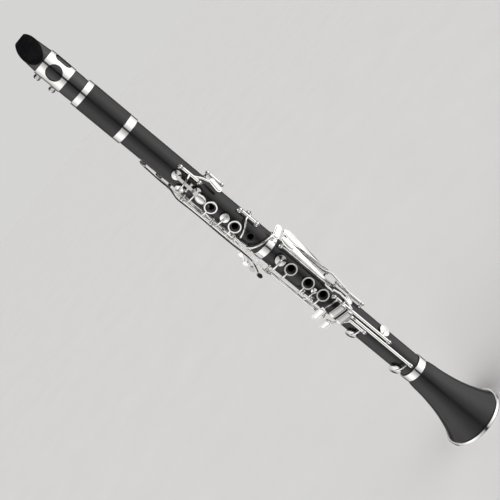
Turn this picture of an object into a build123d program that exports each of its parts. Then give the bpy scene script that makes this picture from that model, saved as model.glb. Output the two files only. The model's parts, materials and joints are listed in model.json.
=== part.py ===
from build123d import *
import math
import os

os.makedirs("parts", exist_ok=True)

# ------------------------------------------------------------------ driving sizes, millimetres
bore = 7.4                      # radius of the air column
joint_radius = 14.5             # outside radius of both long joints
mouthpiece_length = 77.5        # showing above the barrel
barrel_length = 63.6
upper_length = 186.2            # showing between barrel and lower joint
lower_length = 229.7            # showing between upper joint and bell
bell_length = 108.0
bell_rim_radius = 39.3

tenon_length = 18.5             # how far each joint reaches into the next
socket_depth = 19.0
tenon_radius = 11.3
socket_radius = 11.9
cork_inset = 4.0
slide_fit = 0.05                # barrel socket around the top cork

ring_thickness = 1.5            # metal bands round the sockets
ring_height = 9.5

rod = 0.85                      # hinge rods
tube = 1.75                     # hinge tubes of the keys
running_fit = 0.05              # tube round rod
end_gap = 0.3                   # tube end to post ball
ball = 2.15                     # post balls
stem = 1.2
pad_gap = 0.15                  # closed pad above its seat
seat_drop = 0.3                 # seat below the crown of the joint
pad_depth = 2.1
pad_out = 0.7                   # pad standing out of its cup
cup_wall = 0.5
seat_room = 0.9                 # room round a cup in its counterbore
seat_floor = 1.3
chimney = 1.1                   # wall of a tone hole seat
ring_in = 5.8
ring_out = 7.3
finger_chimney = 5.0
finger_rise = 1.6
lift = 5.0                      # degrees a standing key is raised at rest

bell_top = bell_length
lower_top = bell_top + lower_length
upper_top = lower_top + upper_length
barrel_top = upper_top + barrel_length
tip = barrel_top + mouthpiece_length
body = joint_radius


# ------------------------------------------------------------------ places on the instrument
def low(height):
    """Height on the lower joint, given for a joint 230 long."""
    return bell_top + height * lower_length / 229.7


def up(height):
    """Height on the upper joint, given for a joint 186 long."""
    return lower_top + height * upper_length / 186.2


def out(turn):
    """Direction away from the centre line, turned from the front towards the left hand."""
    a = math.radians(turn)
    return Vector(math.sin(a), -math.cos(a), 0)


def along(turn):
    """Direction round the joint."""
    a = math.radians(turn)
    return Vector(math.cos(a), math.sin(a), 0)


def at(turn, reach, height):
    return out(turn) * reach + Vector(0, 0, height)


def facing(turn, reach, height):
    return Plane(origin=at(turn, reach, height), x_dir=along(turn), z_dir=out(turn))


def side(turn, shift=0.0):
    """Plane through the centre line: x outwards, y up."""
    return Plane(origin=along(turn) * shift, x_dir=out(turn), z_dir=-along(turn))


# ------------------------------------------------------------------ shapes used again and again
def disc(plane, radius, height, mode=Mode.ADD):
    with Locations(plane):
        Cylinder(radius, height, align=(Align.CENTER, Align.CENTER, Align.MIN), mode=mode)


def upright(turn, reach, low_end, high_end, radius, mode=Mode.ADD):
    with Locations(at(turn, reach, low_end)):
        Cylinder(radius, high_end - low_end, align=(Align.CENTER, Align.CENTER, Align.MIN), mode=mode)


def between(stops):
    """Points along a path that follows the curve of the joint."""
    points = []
    for first, second in zip(stops, stops[1:]):
        steps = max(1, round(abs(second[0] - first[0]) / 11.0))
        for k in range(steps):
            share = k / steps
            points.append(at(*(a + (b - a) * share for a, b in zip(first, second))))
    points.append(at(*stops[-1]))
    return points


def arm(stops, radius=1.15):
    """Round arm along straight runs joined by soft bends."""
    spots = between(stops)
    with BuildLine() as path:
        if len(spots) > 2:
            FilletPolyline(*spots, radius=1.6 * radius)
        else:
            Line(*spots)
    with BuildSketch(Plane(origin=path.line @ 0, z_dir=path.line % 0)) as profile:
        Circle(radius)
    sweep(profile.sketch, path=path.line)
    with Locations(spots[0], spots[-1]):
        Sphere(radius * 1.06)


def paddle(turn, reach, height, facing_turn, length, width, thickness=1.6, lean=0.0, leaf=False):
    """Finger plate, round-ended or leaf-shaped, turned to face a direction of its own."""
    plane = Plane(origin=at(turn, reach, height), x_dir=along(facing_turn), z_dir=out(facing_turn))
    with BuildSketch(plane) as profile:
        if leaf:
            Ellipse(length / 2, width / 2, rotation=lean)
        else:
            SlotOverall(length, width, rotation=lean)
    extrude(profile.sketch, amount=thickness)


def oval(turn, reach, height, wide, tall, thickness=1.6):
    with BuildSketch(facing(turn, reach, height)) as profile:
        Ellipse(wide / 2, tall / 2)
    extrude(profile.sketch, amount=thickness)


def cup_base():
    return body - seat_drop + pad_gap + pad_out


def cup(turn, height, radius):
    base = facing(turn, cup_base(), height)
    disc(base, radius, 1.7)
    with Locations(base.offset(1.7)):
        Cone(radius, 1.3, 1.2, align=(Align.CENTER, Align.CENTER, Align.MIN))


def pad_shape(turn, height, radius, mode=Mode.ADD):
    disc(facing(turn, cup_base() - pad_out, height), radius - cup_wall, pad_depth, mode=mode)


def finger_ring(turn, height):
    base = facing(turn, body + 0.3, height)
    disc(base, ring_out, 1.7)
    disc(base.offset(-0.5), ring_in, 3.0, mode=Mode.SUBTRACT)


def hinge_tube(turn, reach, low_post, high_post):
    upright(turn, reach, low_post + ball + end_gap, high_post - ball - end_gap, tube)


def hinge_bore(turn, reach, low_post, high_post):
    upright(turn, reach, low_post, high_post, rod + running_fit, mode=Mode.SUBTRACT)


def post(turn, reach, height):
    disc(facing(turn, body - 2.5, height), stem, reach - body + 2.5)
    disc(facing(turn, body - 0.7, height), 2.3, 1.4)
    with Locations(at(turn, reach, height)):
        Sphere(ball)


def post_spots(hinges):
    """Every post once, also where two hinges share one."""
    ends = {(h[0], h[1], h[2]) for h in hinges} | {(h[0], h[1], h[3]) for h in hinges}
    return sorted(ends)


def hinge_rod(turn, reach, low_post, high_post):
    upright(turn, reach, low_post - 1.5, high_post + 1.5, rod)


def needle(turn, reach, low_post, length):
    """Needle spring standing in a post, just under its key tube."""
    upright(turn, reach - tube - 0.75, low_post - 1.6, low_post + length, 0.28)


def rocker(turn, upper, lower, half):
    """Flat lever cut from plate, seen from the side as outward reach against height."""
    with BuildSketch(side(turn)) as profile:
        with BuildLine():
            top = Spline(*upper)
            under = Spline(*lower)
            Line(top @ 0, under @ 0)
            Line(top @ 1, under @ 1)
        make_face()
    extrude(profile.sketch, amount=half, both=True)


def cross_tube(turn, reach, height, half, radius, mode=Mode.ADD):
    with BuildSketch(side(turn)) as profile:
        with Locations((reach, height)):
            Circle(radius)
    extrude(profile.sketch, amount=half, both=True, mode=mode)


def cheek(turn, reach, height, shift, thickness):
    """Thin upright plate that carries one end of a cross pin."""
    for way in (-1, 1):
        with BuildSketch(side(turn, way * shift)) as profile:
            with Locations((reach, height)):
                Circle(1.9)
            with Locations(((reach + body - 2.5) / 2, height)):
                Rectangle(reach - body + 2.5, 3.0)
        extrude(profile.sketch, amount=thickness / 2, both=True)


def tone_hole(turn, height, hole, cup_radius):
    """Counterbore, raised seat and hole under a padded cup."""
    floor = facing(turn, body - seat_floor, height)
    disc(floor, cup_radius + seat_room, 8.0, mode=Mode.SUBTRACT)
    disc(floor.offset(-0.5), hole + chimney, seat_floor - seat_drop + 0.5)
    disc(facing(turn, 3.0, height), hole, body, mode=Mode.SUBTRACT)


def finger_hole(turn, height, hole, chimney_radius):
    disc(facing(turn, body - 2.0, height), chimney_radius, 2.0 + finger_rise)
    disc(facing(turn, 3.0, height), hole, body + 2.0, mode=Mode.SUBTRACT)


# ------------------------------------------------------------------ where everything sits
# rod hinges: turn, reach, low post, high post
second_hinge = (-62, body + 5.5, up(29), up(58.5))
first_hinge = (-62, body + 5.5, up(58.5), up(99))
thumb_hinge = (99, body + 5.5, up(75), up(95))
g_hinge = (32, body + 3.7, up(98), up(124))
c_hinge = (-48, body + 3.1, up(8), up(32))
banana_hinge = (52, body + 3.6, up(21), up(45))
low_ring_hinge = (-66, body + 5.8, low(122), low(207))
low_banana_hinge = (-40, body + 4.2, low(147), low(161))
e_hinge = (10, body + 3.8, low(7), low(103.5))
f_hinge = (-4, body + 3.8, low(77), low(103.5))
a_flat_hinge = (26, body + 3.8, low(46), low(131))
f_sharp_hinge = (82, body + 5.0, low(96), low(135))
left_e_hinge = (48, body + 4.0, low(144), low(214))
left_f_hinge = (102, body + 5.5, low(150), low(196))
upper_hinges = [second_hinge, first_hinge, thumb_hinge, g_hinge, c_hinge, banana_hinge]
lower_hinges = [low_ring_hinge, low_banana_hinge, e_hinge, f_hinge, a_flat_hinge, f_sharp_hinge,
                left_e_hinge, left_f_hinge]

# padded cups: turn, height, cup radius, hole radius
register_cup = (180, up(154), 4.6, 1.6)
a_cup = (0, up(121.5), 5.3, 3.0)
g_cup = (-40, up(109), 5.2, 3.0)
first_cup = (3, up(94), 4.6, 2.6)
second_cup = (-6, up(53), 5.2, 3.2)
c_cup = (-76, up(22), 4.2, 2.6)
banana_cup = (86, up(33), 3.6, 2.0)
low_ring_cup = (6, low(205.5), 6.3, 4.2)
low_banana_cup = (-6, low(153.2), 3.4, 2.0)
f_sharp_cup = (54, low(114), 5.4, 4.0)
f_cup = (-54, low(84), 6.6, 4.8)
a_flat_cup = (56, low(56.5), 6.9, 5.0)
e_cup = (-50, low(15), 7.2, 5.2)
upper_cups = [a_cup, g_cup, first_cup, second_cup, banana_cup]
lower_cups = [low_ring_cup, low_banana_cup, f_sharp_cup, f_cup, a_flat_cup, e_cup]

# finger holes: turn, height
left_first = (-10, up(71.7))
left_second = (-8, up(38.5))
left_third = (-1, up(18))
right_first = (5, low(190))
right_second = (6, low(164.7))
right_third = (7, low(142.7))

# side levers: turn, top of pad end, pivot height, finger plate height, turn of the cup
trills = [(-78, up(154), up(118), low(208), -78), (-92, up(132), up(97), low(217), -99),
          (-106, up(104), up(70), low(225), -113), (-120, up(76), up(40), up(3.5), -127)]
trill_half = 1.2
trill_reach = body + 3.4
cheek_shift = trill_half + 0.25 + 0.65
cheek_thick = 1.3
register_pivot = (180, body + 3.6, up(121))
a_pivot = (-5, body + 3.4, up(103.5))


# ------------------------------------------------------------------ mouthpiece, reed and ligature
table = 10.4                    # flat the reed lies on, measured from the centre line
mouth_r = 13.9
beak_start = tip - 31.0
reed_thick = 2.6
reed_width = 13.0
reed_length = 66.0
lig_low = tip - 61.5
lig_high = tip - 31.5
lig_gap = 0.35
lig_wall = 0.7

with BuildPart() as mouthpiece:
    with BuildSketch(Plane.XZ):
        with BuildLine():
            Polyline((bore, barrel_top - tenon_length), (tenon_radius, barrel_top - tenon_length),
                     (tenon_radius, barrel_top), (mouth_r, barrel_top), (mouth_r + 0.3, barrel_top + 8),
                     (mouth_r - 0.3, beak_start), (mouth_r - 2.6, tip), (0, tip),
                     (0, beak_start - 12), (bore, beak_start - 30),
                     (bore, barrel_top - tenon_length))
        make_face()
    revolve(axis=Axis.Z)
    # sloping face for the upper teeth
    with BuildSketch(Plane.YZ):
        with BuildLine():
            Polyline((-mouth_r - 4, beak_start - 5), (table - 1.3, tip), (table - 1.3, tip + 5),
                     (-mouth_r - 4, tip + 5), (-mouth_r - 4, beak_start - 5))
        make_face()
    extrude(amount=40, both=True, mode=Mode.SUBTRACT)
    # flat table behind, with the curved facing near the tip
    with BuildSketch(Plane.YZ):
        with BuildLine():
            Polyline((table, tip - reed_length - 1), (table, tip - 22), (table - 1.1, tip + 2),
                     (mouth_r + 5, tip + 2), (mouth_r + 5, tip - reed_length - 1),
                     (table, tip - reed_length - 1))
        make_face()
    extrude(amount=40, both=True, mode=Mode.SUBTRACT)
    # rounded tip seen from the front
    with BuildSketch(Plane.XZ):
        with Locations((0, tip - 16)):
            Rectangle(60, 40, align=(Align.CENTER, Align.MIN))
        with BuildLine():
            edge = Spline((mouth_r + 0.4, tip - 28), (mouth_r - 0.7, tip - 14), (mouth_r - 2.6, tip - 5.5),
                          (mouth_r * 0.56, tip - 1.0), (0, tip))
            mirror(edge, about=Plane.YZ)
            Line((-mouth_r - 0.4, tip - 28), (mouth_r + 0.4, tip - 28))
        make_face(mode=Mode.SUBTRACT)
    extrude(amount=40, both=True, mode=Mode.SUBTRACT)
    # window behind the reed and the chamber it opens into
    with BuildSketch(Plane.YZ):
        with BuildLine():
            Polyline((-3.0, beak_start - 14), (table + 1, beak_start - 14), (table + 1, tip - 3.5),
                     (table - 2.2, tip - 3.5), (-3.0, beak_start - 14))
        make_face()
    extrude(amount=5.2, both=True, mode=Mode.SUBTRACT)
    # groove for the tenon cork
    with Locations((0, 0, barrel_top - tenon_length + cork_inset)):
        Cylinder(tenon_radius + 1, tenon_length - 2 * cork_inset,
                 align=(Align.CENTER, Align.CENTER, Align.MIN), mode=Mode.SUBTRACT)
    with Locations((0, 0, barrel_top - tenon_length + cork_inset)):
        Cylinder(tenon_radius - 0.9, tenon_length - 2 * cork_inset,
                 align=(Align.CENTER, Align.CENTER, Align.MIN))
    with Locations((0, 0, barrel_top - tenon_length)):
        Cylinder(bore, tenon_length + 5, align=(Align.CENTER, Align.CENTER, Align.MIN),
                 mode=Mode.SUBTRACT)


def cork_band(low_end, outer):
    """Sleeve of cork in the groove of a tenon."""
    with Locations((0, 0, low_end + cork_inset)):
        Cylinder(outer, tenon_length - 2 * cork_inset, align=(Align.CENTER, Align.CENTER, Align.MIN))
    with Locations((0, 0, low_end + cork_inset)):
        Cylinder(tenon_radius - 0.9, tenon_length - 2 * cork_inset,
                 align=(Align.CENTER, Align.CENTER, Align.MIN), mode=Mode.SUBTRACT)


with BuildPart() as mouthpiece_cork:
    cork_band(barrel_top - tenon_length, socket_radius)

with BuildPart() as reed:
    with BuildSketch(Plane.YZ):
        with BuildLine():
            Polyline((table, tip - reed_length), (table, tip - 0.4), (table + 0.25, tip - 0.4),
                     (table + reed_thick, tip - 34), (table + reed_thick + 0.4, tip - reed_length),
                     (table, tip - reed_length))
        make_face()
    extrude(amount=reed_width / 2, both=True)
    with BuildSketch(Plane.XZ):
        with Locations((0, tip - 8)):
            Rectangle(30, 20, align=(Align.CENTER, Align.MIN))
        with Locations((0, tip - 8.4)):
            Ellipse(reed_width / 2 + 0.4, 8.0, mode=Mode.SUBTRACT)
    extrude(amount=40, both=True, mode=Mode.SUBTRACT)

screw_heights = [lig_low + 5.5, lig_high - 5.5]
screw_line = table + reed_thick + 5.6
lug_x = 4.2
lig_inner = mouth_r + lig_gap
reed_back = table + reed_thick + 0.4

with BuildPart() as ligature_band:
    with BuildSketch(Plane.XY.offset(lig_low)):
        Circle(lig_inner + lig_wall)
        with Locations((0, (reed_back - 0.04) / 2)):
            Rectangle(reed_width + 0.2 + 2 * lig_wall, reed_back - 0.04 + 2 * lig_wall)
        Circle(lig_inner, mode=Mode.SUBTRACT)
        with Locations((0, reed_back / 2)):
            Rectangle(reed_width + 0.2, reed_back - 0.08, mode=Mode.SUBTRACT)
        with Locations((0, reed_back)):
            Rectangle(3.0, 12, mode=Mode.SUBTRACT)
    extrude(amount=lig_high - lig_low)
    # round opening in front and an arched window each side
    with BuildSketch(Plane.XZ):
        with Locations((0, (lig_low + lig_high) / 2)):
            Circle(8.6)
    extrude(amount=lig_inner + 4, mode=Mode.SUBTRACT)
    for turn in (-72, 72):
        with BuildSketch(facing(turn, 8, (lig_low + lig_high) / 2)):
            SlotOverall(19, 10.0, rotation=90)
        extrude(amount=12, mode=Mode.SUBTRACT)
    # lugs the screws draw together
    for height in screw_heights:
        for way in (-1, 1):
            with Locations((way * lug_x, screw_line - 1.4, height)):
                Box(3.4, 7.0, 5.6)
    for height in screw_heights:
        with Locations(Location((0, screw_line, height), (0, 90, 0))):
            Cylinder(1.3, 30, mode=Mode.SUBTRACT)


def ligature_screw(height):
    """Thumb screw lying across the back of the ligature, its head clear of the side."""
    line = Plane(origin=(lug_x + 2.4, screw_line, height), x_dir=(0, 1, 0), z_dir=(-1, 0, 0))
    neck = lug_x + 2.4 + mouth_r
    disc(line, 1.25, neck + 1)
    disc(line.offset(neck), 2.1, 3.4)
    disc(line.offset(neck + 2.6), 4.0, 5.2)
    disc(line.offset(neck + 7.8), 2.9, 1.1)
    with Locations(line.offset(neck + 8.4)):
        Box(9, 1.0, 1.9, mode=Mode.SUBTRACT)


with BuildPart() as ligature_screw_upper:
    ligature_screw(screw_heights[1])

with BuildPart() as ligature_screw_lower:
    ligature_screw(screw_heights[0])


# ------------------------------------------------------------------ barrel, joints and bell
barrel_r = body + 1.4
band_r = barrel_r + 0.15


def metal_band(low_end, height, inner, outer):
    """Turned ring with a rounded outside."""
    with BuildSketch(Plane.XZ) as profile:
        with Locations(((inner + outer) / 2, low_end + height / 2)):
            RectangleRounded(outer - inner, height, min(0.7, (outer - inner) / 2.2))
    revolve(profile.sketch, axis=Axis.Z)


with BuildPart() as barrel_top_ring:
    metal_band(barrel_top - 7.4, 7.4, barrel_r - ring_thickness, band_r)

with BuildPart() as barrel_bottom_ring:
    metal_band(upper_top, ring_height, barrel_r - ring_thickness, band_r)

with BuildPart() as barrel_body:
    with Locations((0, 0, upper_top)):
        Cylinder(barrel_r, barrel_length, align=(Align.CENTER, Align.CENTER, Align.MIN))
    with Locations((0, 0, upper_top)):
        Cylinder(bore, barrel_length, align=(Align.CENTER, Align.CENTER, Align.MIN),
                 mode=Mode.SUBTRACT)
    with Locations((0, 0, upper_top), (0, 0, barrel_top - socket_depth)):
        Cylinder(socket_radius, socket_depth, align=(Align.CENTER, Align.CENTER, Align.MIN),
                 mode=Mode.SUBTRACT)
    for low_end, high_end in ((upper_top, upper_top + ring_height), (barrel_top - 7.4, barrel_top)):
        with Locations((0, 0, low_end)):
            Cylinder(barrel_r + 1, high_end - low_end,
                     align=(Align.CENTER, Align.CENTER, Align.MIN), mode=Mode.SUBTRACT)
        with Locations((0, 0, low_end)):
            Cylinder(barrel_r - ring_thickness, high_end - low_end,
                     align=(Align.CENTER, Align.CENTER, Align.MIN))
        with Locations((0, 0, low_end)):
            Cylinder(socket_radius, high_end - low_end,
                     align=(Align.CENTER, Align.CENTER, Align.MIN), mode=Mode.SUBTRACT)

with BuildPart() as upper_rods:
    for turn, reach, low_post, high_post in upper_hinges:
        hinge_rod(turn, reach, low_post, high_post)
    for turn, pad_top, pivot, plate, cup_turn in trills:
        cross_tube(turn, trill_reach, pivot, cheek_shift + cheek_thick / 2, rod)
    cross_tube(register_pivot[0], register_pivot[1], register_pivot[2], 4.6, rod)
    cross_tube(a_pivot[0], a_pivot[1], a_pivot[2], 5.6, rod)

with BuildPart() as upper_springs:
    needle(*first_hinge[:3], 20)
    needle(second_hinge[0], second_hinge[1], up(44), 16)
    needle(*thumb_hinge[:3], 18)
    needle(*g_hinge[:3], 12)
    needle(*c_hinge[:3], 13)
    needle(*banana_hinge[:3], 13)

with BuildPart() as upper_posts:
    for spot in post_spots(upper_hinges):
        post(*spot)
    for turn, pad_top, pivot, plate, cup_turn in trills:
        cheek(turn, trill_reach, pivot, cheek_shift, cheek_thick)
    cheek(register_pivot[0], register_pivot[1], register_pivot[2], 3.8, 1.6)
    for way in (-1, 1):
        spot = way * 4.6
        with BuildSketch(side(a_pivot[0], spot)):
            with Locations((a_pivot[1], a_pivot[2])):
                Circle(ball)
            with Locations(((a_pivot[1] + body - 2.5) / 2, a_pivot[2])):
                Rectangle(a_pivot[1] - body + 2.5, 2.4)
        extrude(amount=0.95, both=True)
    add(upper_rods.part, mode=Mode.SUBTRACT)
    add(upper_springs.part, mode=Mode.SUBTRACT)

with BuildPart() as lower_rods:
    for turn, reach, low_post, high_post in lower_hinges:
        hinge_rod(turn, reach, low_post, high_post)

with BuildPart() as lower_springs:
    needle(*low_ring_hinge[:3], 28)
    needle(*e_hinge[:3], 24)
    needle(*f_hinge[:3], 14)
    needle(*a_flat_hinge[:3], 24)
    needle(*f_sharp_hinge[:3], 20)
    needle(*left_e_hinge[:3], 22)
    needle(*left_f_hinge[:3], 20)

with BuildPart() as lower_posts:
    for spot in post_spots(lower_hinges):
        post(*spot)
    add(lower_rods.part, mode=Mode.SUBTRACT)
    add(lower_springs.part, mode=Mode.SUBTRACT)

thumb_tube_h = up(66)
with BuildPart() as hole_tubes:
    disc(facing(register_cup[0], bore - 4.0, register_cup[1]), 2.3, body - bore + 4.0 - seat_drop)
    disc(facing(register_cup[0], bore - 5.0, register_cup[1]), 1.5, 20, mode=Mode.SUBTRACT)
    disc(facing(180, bore + 0.5, thumb_tube_h), 5.0, body - bore - 0.5 + 1.8)
    disc(facing(180, bore - 2, thumb_tube_h), 3.9, 20, mode=Mode.SUBTRACT)

with BuildPart() as upper_joint_body:
    with Locations((0, 0, lower_top)):
        Cylinder(body, upper_length, align=(Align.CENTER, Align.CENTER, Align.MIN))
    with Locations((0, 0, lower_top - tenon_length), (0, 0, upper_top)):
        Cylinder(tenon_radius, tenon_length, align=(Align.CENTER, Align.CENTER, Align.MIN))
    for low_end in (lower_top - tenon_length, upper_top):
        with Locations((0, 0, low_end + cork_inset)):
            Cylinder(tenon_radius + 1, tenon_length - 2 * cork_inset,
                     align=(Align.CENTER, Align.CENTER, Align.MIN), mode=Mode.SUBTRACT)
        with Locations((0, 0, low_end + cork_inset)):
            Cylinder(tenon_radius - 0.9, tenon_length - 2 * cork_inset,
                     align=(Align.CENTER, Align.CENTER, Align.MIN))
    for turn, height in (left_first, left_second, left_third):
        finger_hole(turn, height, 3.6, finger_chimney)
    for turn, height, cup_radius, hole in upper_cups:
        tone_hole(turn, height, hole, cup_radius)
    tone_hole(register_cup[0], register_cup[1], 2.3, register_cup[2])
    tone_hole(c_cup[0], c_cup[1], c_cup[3], c_cup[2])
    for turn, pad_top, pivot, plate, cup_turn in trills:
        tone_hole(cup_turn, pad_top, 2.6, 4.2)
    add(upper_posts.part, mode=Mode.SUBTRACT)
    add(upper_springs.part, mode=Mode.SUBTRACT)
    disc(facing(180, 3.0, thumb_tube_h), 5.0, 20, mode=Mode.SUBTRACT)
    with Locations((0, 0, lower_top - tenon_length)):
        Cylinder(bore, upper_length + 2 * tenon_length,
                 align=(Align.CENTER, Align.CENTER, Align.MIN), mode=Mode.SUBTRACT)
    add(hole_tubes.part, mode=Mode.SUBTRACT)

with BuildPart() as upper_joint_corks:
    cork_band(upper_top, socket_radius - slide_fit)
    cork_band(lower_top - tenon_length, socket_radius)

mid_band_r = body + 1.5
with BuildPart() as lower_socket_ring:
    metal_band(lower_top - ring_height, ring_height, mid_band_r - ring_thickness, mid_band_r)

rest_z = low(165)
with BuildPart() as thumb_rest:
    with BuildSketch(Plane.XY.offset(rest_z - 14)):
        with BuildLine():
            CenterArc((0, 0), body, 65, 50)
            CenterArc((0, 0), body + 1.6, 65, 50)
            Line(at(155, body, 0), at(155, body + 1.6, 0))
            Line(at(205, body, 0), at(205, body + 1.6, 0))
        make_face()
    extrude(amount=28)
    with BuildSketch(side(180)):
        with BuildLine():
            Polyline((body + 0.8, rest_z + 2), (body + 20, rest_z + 5.5), (body + 20.6, rest_z + 3.6),
                     (body + 4, rest_z - 2.5), (body + 0.8, rest_z - 6), (body + 0.8, rest_z + 2))
        make_face()
    extrude(amount=6.5, both=True)
    for height in (rest_z + 10, rest_z - 10):
        disc(facing(180, body - 1, height), 1.3, 6, mode=Mode.SUBTRACT)

with BuildPart() as thumb_rest_screws:
    for height in (rest_z + 10, rest_z - 10):
        disc(facing(180, body - 4.5, height), 1.3, 4.5 + 1.6)
        disc(facing(180, body + 1.6, height), 2.4, 1.0)
        with Locations(facing(180, body + 2.3, height)):
            Box(6, 0.7, 1.0, mode=Mode.SUBTRACT)

with BuildPart() as lower_joint_body:
    with Locations((0, 0, bell_top)):
        Cylinder(body, lower_length, align=(Align.CENTER, Align.CENTER, Align.MIN))
    with Locations((0, 0, bell_top - tenon_length)):
        Cylinder(tenon_radius, tenon_length, align=(Align.CENTER, Align.CENTER, Align.MIN))
    with Locations((0, 0, bell_top - tenon_length + cork_inset)):
        Cylinder(tenon_radius + 1, tenon_length - 2 * cork_inset,
                 align=(Align.CENTER, Align.CENTER, Align.MIN), mode=Mode.SUBTRACT)
    with Locations((0, 0, bell_top - tenon_length + cork_inset)):
        Cylinder(tenon_radius - 0.9, tenon_length - 2 * cork_inset,
                 align=(Align.CENTER, Align.CENTER, Align.MIN))
    for turn, height in (right_first, right_second, right_third):
        finger_hole(turn, height, 4.0, finger_chimney)
    for turn, height, cup_radius, hole in lower_cups:
        tone_hole(turn, height, hole, cup_radius)
    add(lower_posts.part, mode=Mode.SUBTRACT)
    add(lower_springs.part, mode=Mode.SUBTRACT)
    add(thumb_rest_screws.part, mode=Mode.SUBTRACT)
    add(lower_socket_ring.part, mode=Mode.SUBTRACT)
    with Locations((0, 0, bell_top - tenon_length)):
        Cylinder(bore, lower_length + tenon_length,
                 align=(Align.CENTER, Align.CENTER, Align.MIN), mode=Mode.SUBTRACT)
    with Locations((0, 0, lower_top - socket_depth)):
        Cylinder(socket_radius, socket_depth, align=(Align.CENTER, Align.CENTER, Align.MIN),
                 mode=Mode.SUBTRACT)

with BuildPart() as lower_tenon_cork:
    cork_band(bell_top - tenon_length, socket_radius)

bell_ring_r = body + 1.75
bell_shell = 3.0
rim_band = 4.0
flare = [(0.0, bell_rim_radius), (0.055, 36.4), (0.11, 33.4), (0.17, 30.8), (0.25, 27.9),
         (0.33, 25.4), (0.43, 22.8), (0.545, 20.6), (0.68, 18.6), (0.83, 17.0)]

with BuildPart() as bell_socket_ring:
    metal_band(bell_top - ring_height - 1.0, ring_height + 1.0, bell_ring_r - ring_thickness, bell_ring_r)

with BuildPart() as bell_rim_ring:
    with BuildSketch(Plane.XZ):
        with Locations((bell_rim_radius - 1.3, rim_band / 2)):
            RectangleRounded(2.6, rim_band, 0.7)
    revolve(axis=Axis.Z)

with BuildPart() as bell_body:
    with BuildSketch(Plane.XZ):
        with BuildLine():
            outer = Spline(*[(r, s * bell_length) for s, r in flare[1:]],
                           (bell_ring_r - ring_thickness, bell_top - ring_height - 1.0))
            inner = Spline(*[(max(r - bell_shell - 2 * s, bore + 0.6), s * bell_length)
                             for s, r in flare[1:8]], (bore + 0.6, bell_top - socket_depth - 6.0))
            Line(outer @ 1, (bell_ring_r - ring_thickness, bell_top))
            Line((bell_ring_r - ring_thickness, bell_top), (bore + 0.6, bell_top))
            Line((bore + 0.6, bell_top), inner @ 1)
            Line(inner @ 0, (bell_rim_radius - 5.2, 0.6))
            Line((bell_rim_radius - 5.2, 0.6), (bell_rim_radius - 1.6, 0.6))
            Line((bell_rim_radius - 1.6, 0.6), outer @ 0)
        make_face()
    revolve(axis=Axis.Z)
    with Locations((0, 0, bell_top - socket_depth)):
        Cylinder(socket_radius, socket_depth + 1, align=(Align.CENTER, Align.CENTER, Align.MIN),
                 mode=Mode.SUBTRACT)
    add(bell_rim_ring.part, mode=Mode.SUBTRACT)
    add(bell_socket_ring.part, mode=Mode.SUBTRACT)


# ------------------------------------------------------------------ keys of the upper joint
def lever_path(reach, thickness, ends):
    """Upper and lower edges of a side lever from reach and height pairs."""
    upper = [(r + thickness / 2, z) for r, z in ends]
    lower = [(r - thickness / 2, z) for r, z in ends]
    return upper, lower


def side_lever(turn, pad_top, pivot, plate, cup_turn, plate_reach):
    """Side lever: padded end above, cross tube, finger plate standing out below."""
    top = cup_base() + 2.4
    bar = body + 7.4
    straight = min(plate + 24, (pivot - 15 + plate + 14) / 2)
    run = pivot - 15 - straight
    ends = [(top, pad_top - 1), (top + 0.4, pad_top - 10), (trill_reach + 0.7, pivot + 6),
            (trill_reach + 1.0, pivot - 4), (bar - 0.4, pivot - 13), (bar, pivot - 15 - run * 0.1),
            (bar, straight + run * 0.5), (bar, straight + run * 0.1),
            (bar + 1.2, plate + 14), (plate_reach - 3, plate + 6), (plate_reach, plate + 0.5)]
    upper, lower = lever_path(0, 1.7, ends)
    rocker(turn, upper, lower, trill_half)
    cup(cup_turn, pad_top, 4.2)
    cross_tube(turn, trill_reach, pivot, trill_half, 1.75)
    with BuildSketch(side(turn)) as profile:
        with Locations((plate_reach, plate)):
            Ellipse(2.6, 3.6)
    extrude(profile.sketch, amount=2.1, both=True)
    cross_tube(turn, trill_reach, pivot, 5, rod + running_fit, mode=Mode.SUBTRACT)
    pad_shape(cup_turn, pad_top, 4.2, mode=Mode.SUBTRACT)


with BuildPart() as trill_key_4:
    side_lever(*trills[0], body + 15.0)

with BuildPart() as trill_key_3:
    side_lever(*trills[1], body + 15.5)

with BuildPart() as trill_key_2:
    side_lever(*trills[2], body + 17.5)

with BuildPart() as trill_key_1:
    side_lever(*trills[3], body + 17.5)

with BuildPart() as register_key:
    top = cup_base() + 2.4
    ends = [(top, register_cup[1] - 1), (top + 0.6, register_cup[1] - 12),
            (register_pivot[1] + 1.0, register_pivot[2] + 5), (register_pivot[1] + 1.0, register_pivot[2] - 4),
            (body + 6.5, up(105)), (body + 7.0, up(92))]
    rocker(180, *lever_path(0, 1.8, ends), 1.5)
    cup(*register_cup[:3])
    cross_tube(180, register_pivot[1], register_pivot[2], 2.75, 1.75)
    oval(178, body + 6.1, up(87.5), 7.0, 15.0, 1.8)
    cross_tube(180, register_pivot[1], register_pivot[2], 6, rod + running_fit, mode=Mode.SUBTRACT)
    pad_shape(*register_cup[:3], mode=Mode.SUBTRACT)

with BuildPart() as a_key:
    top = cup_base() + 2.4
    ends = [(top, a_cup[1] - 1), (top + 0.4, a_cup[1] - 7), (a_pivot[1] + 1.0, a_pivot[2] + 4),
            (a_pivot[1] + 1.4, a_pivot[2] - 2), (body + 7.5, up(96.5)), (body + 7.8, up(91))]
    rocker(-3, *lever_path(0, 1.8, ends), 1.6)
    cup(*a_cup[:3])
    cross_tube(a_pivot[0], a_pivot[1], a_pivot[2], 3.35, 1.75)
    oval(-6, body + 7.0, up(87.2), 9.4, 13.0, 1.8)
    cross_tube(a_pivot[0], a_pivot[1], a_pivot[2], 6.5, rod + running_fit, mode=Mode.SUBTRACT)
    pad_shape(*a_cup[:3], mode=Mode.SUBTRACT)

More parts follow.
